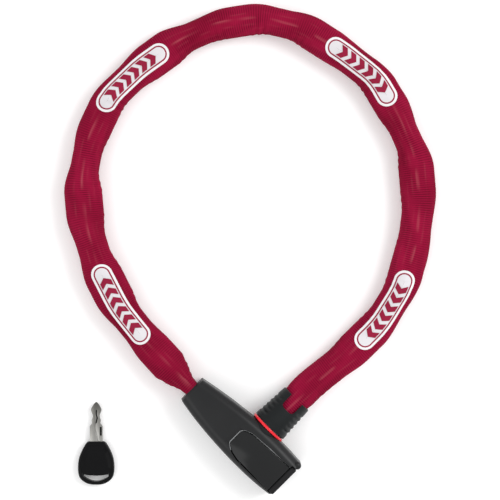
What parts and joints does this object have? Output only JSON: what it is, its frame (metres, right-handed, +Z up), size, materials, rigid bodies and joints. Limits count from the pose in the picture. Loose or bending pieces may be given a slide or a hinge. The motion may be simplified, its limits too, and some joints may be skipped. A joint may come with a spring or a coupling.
{
  "type": "chain lock",
  "caption": "Fabric-sleeved square-link chain lock with a tapered key housing, a plug-in ribbed connector with a red ring, and a separate key",
  "frame": {"origin": "on the floor plane under the middle of the whole object, lock and key together", "axes": "+Z up off the floor the lock lies on, +Y from the housing towards the far side of the chain loop, +X towards the connector's side of the loop"},
  "size_m": [0.302, 0.4018, 0.033],
  "materials": {
    "housing_plastic": "fine-grained charcoal moulding with a slight sheen",
    "panel_gloss": "smooth glossy black inset",
    "dark_plastic": "satin black moulding",
    "boot_rubber": "satin black elastomer with moulded ribs",
    "ring_red": "glossy bright red",
    "sleeve_fabric": "tightly ribbed crimson webbing with white printed patches",
    "chain_steel": "zinc-coated hardened square bar",
    "hardened_steel": "machined and plated",
    "cylinder_brass": "machined brass",
    "spring_steel": "drawn wire",
    "key_steel": "nickel-plated, milled grooves",
    "key_head_plastic": "satin black moulded head"
  },
  "bodies": {
    "lock": {"housing_front_shell": "housing_plastic", "housing_rear_shell": "housing_plastic", "front_panel": "panel_gloss", "end_cap": "dark_plastic", "socket_collar": "dark_plastic", "steel_case": "hardened_steel", "cylinder_body": "cylinder_brass", "cylinder_pin": "hardened_steel", "latch_spring": "spring_steel", "socket_bush": "hardened_steel", "chain_anchor_pin": "hardened_steel", "housing_screw_1": "hardened_steel", "housing_screw_2": "hardened_steel", "housing_screw_3": "hardened_steel", "chain_link_01": "chain_steel", "sleeve_housing_end": "sleeve_fabric"},
    "chain_run_1": {"sleeve_run_1": "sleeve_fabric", "chain_link_02": "chain_steel", "chain_link_03": "chain_steel", "chain_link_04": "chain_steel"},
    "chain_run_2": {"sleeve_run_2": "sleeve_fabric", "chain_link_05": "chain_steel", "chain_link_06": "chain_steel", "chain_link_07": "chain_steel"},
    "chain_run_3": {"sleeve_run_3": "sleeve_fabric", "chain_link_08": "chain_steel", "chain_link_09": "chain_steel", "chain_link_10": "chain_steel", "chain_link_11": "chain_steel"},
    "chain_run_4": {"sleeve_run_4": "sleeve_fabric", "chain_link_12": "chain_steel", "chain_link_13": "chain_steel", "chain_link_14": "chain_steel"},
    "chain_run_5": {"sleeve_run_5": "sleeve_fabric", "chain_link_15": "chain_steel", "chain_link_16": "chain_steel", "chain_link_17": "chain_steel", "chain_link_18": "chain_steel"},
    "chain_run_6": {"sleeve_run_6": "sleeve_fabric", "chain_link_19": "chain_steel", "chain_link_20": "chain_steel", "chain_link_21": "chain_steel"},
    "chain_run_7": {"sleeve_run_7": "sleeve_fabric", "chain_link_22": "chain_steel", "chain_link_23": "chain_steel"},
    "connector": {"connector_boot": "boot_rubber", "red_ring": "ring_red", "connector_pin": "hardened_steel", "connector_fork": "hardened_steel", "connector_cross_pin": "hardened_steel", "chain_link_24": "chain_steel", "sleeve_connector_end": "sleeve_fabric"},
    "plug_body": {"plug": "cylinder_brass", "wafer_stack": "hardened_steel", "plug_retaining_clip": "spring_steel", "drive_cam": "hardened_steel"},
    "latch_body": {"latch": "hardened_steel"},
    "cover_body": {"keyhole_cover": "dark_plastic"},
    "key": {"key_blade": "key_steel", "key_bow": "key_head_plastic"}
  },
  "joints": [
    {"name": "chain_hinge_1", "type": "hinge", "parent": "lock", "child": "chain_run_1", "pos_m": [-0.06009, -0.102, 0.0136], "axis": [0, 0, 1], "range_deg": [-10.46, 0]},
    {"name": "chain_hinge_2", "type": "hinge", "parent": "chain_run_1", "child": "chain_run_2", "pos_m": [-0.12359, -0.01523, 0.01255], "axis": [0, 0, 1], "range_deg": [0, 4.7]},
    {"name": "chain_hinge_3", "type": "hinge", "parent": "chain_run_2", "child": "chain_run_3", "pos_m": [-0.1308, 0.09058, 0.01255], "axis": [0, 0, 1], "range_deg": [0, 10.47]},
    {"name": "chain_hinge_4", "type": "hinge", "parent": "chain_run_3", "child": "chain_run_4", "pos_m": [-0.02704, 0.18361, 0.01255], "axis": [0, 0, 1], "range_deg": [0, 4.02]},
    {"name": "chain_hinge_5", "type": "hinge", "parent": "chain_run_4", "child": "chain_run_5", "pos_m": [0.07408, 0.1615, 0.01255], "axis": [0, 0, 1], "range_deg": [-1.08, 0]},
    {"name": "chain_hinge_6", "type": "hinge", "parent": "chain_run_5", "child": "chain_run_6", "pos_m": [0.13854, 0.03945, 0.01255], "axis": [0, 0, 1], "range_deg": [-4.59, 0]},
    {"name": "chain_hinge_7", "type": "hinge", "parent": "chain_run_6", "child": "chain_run_7", "pos_m": [0.10552, -0.06185, 0.01255], "axis": [0, 0, 1], "range_deg": [-3.59, 0]},
    {"name": "connector_hinge", "type": "hinge", "parent": "chain_run_7", "child": "connector", "pos_m": [0.05132, -0.10928, 0.0146], "axis": [0, 0, 1], "range_deg": [0, 0.51]},
    {"name": "plug_turn", "type": "hinge", "parent": "lock", "child": "plug_body", "pos_m": [0.02167, -0.18136, 0.0165], "axis": [0.7071, -0.7071, 0], "range_deg": [0, 90]},
    {"name": "latch_slide", "type": "slide", "parent": "lock", "child": "latch_body", "axis": [0, 0, 1], "range_m": [0, 0.0035], "deforming": ["latch_spring"]},
    {"name": "cover_slide", "type": "slide", "parent": "lock", "child": "cover_body", "axis": [-0.7071, -0.7071, 0], "range_m": [0, 0.0088]},
    {"name": "key_lift", "type": "slide", "parent": "lock", "child": "key", "axis": [0, 0, 1], "range_m": [0, 0.05]}
  ],
  "couplings": [
    {"joint": "chain_hinge_1", "follows": "chain_hinge_3", "ratio": -0.99751},
    {"joint": "chain_hinge_2", "follows": "chain_hinge_3", "ratio": 0.44635},
    {"joint": "chain_hinge_4", "follows": "chain_hinge_3", "ratio": 0.38185},
    {"joint": "chain_hinge_5", "follows": "chain_hinge_3", "ratio": -0.10093},
    {"joint": "chain_hinge_6", "follows": "chain_hinge_3", "ratio": -0.436},
    {"joint": "chain_hinge_7", "follows": "chain_hinge_3", "ratio": -0.34045},
    {"joint": "connector_hinge", "follows": "chain_hinge_3", "ratio": 0.04669},
    {"joint": "latch_slide", "follows": "plug_turn", "m_per_rad": 0.002228}
  ]
}
